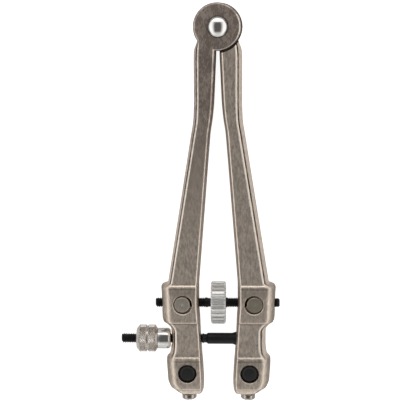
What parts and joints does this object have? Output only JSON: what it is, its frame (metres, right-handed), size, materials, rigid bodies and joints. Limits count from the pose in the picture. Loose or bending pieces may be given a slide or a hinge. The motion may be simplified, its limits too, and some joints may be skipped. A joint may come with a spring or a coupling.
{
  "type": "watch case opener",
  "caption": "Adjustable pin wrench for watch case backs: two hinged arms set apart by a thumb wheel, held by a knurled lock nut, with a pin bit in each arm end.",
  "frame": {"origin": "on the hinge axis, on the back face of the right arm's lug, which is the lower of the two lapped lugs", "axes": "+X across the arms from the left arm, which the knurled nut bears on, to the right arm; +Y along the tool from the bits to the hinge; +Z out of the face with the domed rivet head"},
  "size_m": [0.0641, 0.1604, 0.0196],
  "materials": {
    "arm_nickel": "satin nickel plate over a tumbled forging",
    "polished_steel": "polished",
    "washer_brass": "turned, hidden between the lugs",
    "trunnion_steel": "turned, nickel plated",
    "blackened_rod": "blackened, threaded",
    "bright_steel": "bright nickel plate over knurling",
    "black_oxide": "satin black oxide",
    "screw_nickel": "satin nickel plate"
  },
  "bodies": {
    "right_arm": {"right_arm": "arm_nickel", "hinge_rivet": "polished_steel", "lug_washer": "washer_brass", "lock_rod_pin": "trunnion_steel", "right_bit": "black_oxide", "right_bit_screw": "screw_nickel"},
    "left_arm": {"left_arm": "arm_nickel", "left_bit": "black_oxide", "left_bit_screw": "screw_nickel"},
    "right_trunnion": {"right_trunnion": "trunnion_steel"},
    "left_trunnion": {"left_trunnion": "trunnion_steel"},
    "spindle": {"spindle": "blackened_rod"},
    "thumb_wheel": {"thumb_wheel": "bright_steel"},
    "lock_rod": {"lock_rod": "blackened_rod"},
    "lock_sleeve": {"lock_sleeve": "polished_steel"},
    "lock_nut": {"lock_nut": "bright_steel"}
  },
  "joints": [
    {"name": "arm_pivot", "type": "hinge", "parent": "right_arm", "child": "left_arm", "pos_m": [0, 0, 0.0048], "axis": [0, 0, -1], "range_deg": [-3.93, 4.74]},
    {"name": "right_trunnion_turn", "type": "hinge", "parent": "right_arm", "child": "right_trunnion", "pos_m": [0.0143, -0.1105, 0.0048], "axis": [0, 0, -1], "range_deg": [-1.97, 2.38]},
    {"name": "left_trunnion_turn", "type": "hinge", "parent": "left_arm", "child": "left_trunnion", "pos_m": [-0.0143, -0.1105, 0.0048], "axis": [0, 0, 1], "range_deg": [-1.97, 2.38]},
    {"name": "spindle_travel", "type": "slide", "parent": "right_trunnion", "child": "spindle", "axis": [-1, 0, 0], "range_m": [-0.0038, 0.00458]},
    {"name": "thumb_wheel_turn", "type": "hinge", "parent": "spindle", "child": "thumb_wheel", "pos_m": [0, -0.1105, 0.0048], "axis": [1, 0, 0], "range_deg": [-1950, 2352]},
    {"name": "lock_rod_swing", "type": "hinge", "parent": "right_arm", "child": "lock_rod", "pos_m": [0.01341, -0.1254, 0.0048], "axis": [0, 0, -1], "range_deg": [-1.97, 2.38]},
    {"name": "lock_sleeve_travel", "type": "slide", "parent": "lock_rod", "child": "lock_sleeve", "axis": [-1, 0, 0], "range_m": [-0.00862, 0.01038]},
    {"name": "lock_nut_turn", "type": "hinge", "parent": "lock_sleeve", "child": "lock_nut", "pos_m": [-0.029, -0.1254, 0.0048], "axis": [-1, 0, 0], "range_deg": [-4430, 5340]}
  ],
  "couplings": [
    {"joint": "thumb_wheel_turn", "follows": "arm_pivot", "ratio": 495.92},
    {"joint": "right_trunnion_turn", "follows": "arm_pivot", "ratio": 0.5},
    {"joint": "left_trunnion_turn", "follows": "arm_pivot", "ratio": 0.5},
    {"joint": "spindle_travel", "follows": "arm_pivot", "m_per_rad": 0.05525},
    {"joint": "lock_rod_swing", "follows": "arm_pivot", "ratio": 0.5},
    {"joint": "lock_sleeve_travel", "follows": "arm_pivot", "m_per_rad": 0.1254},
    {"joint": "lock_nut_turn", "follows": "arm_pivot", "ratio": 1125.6}
  ]
}
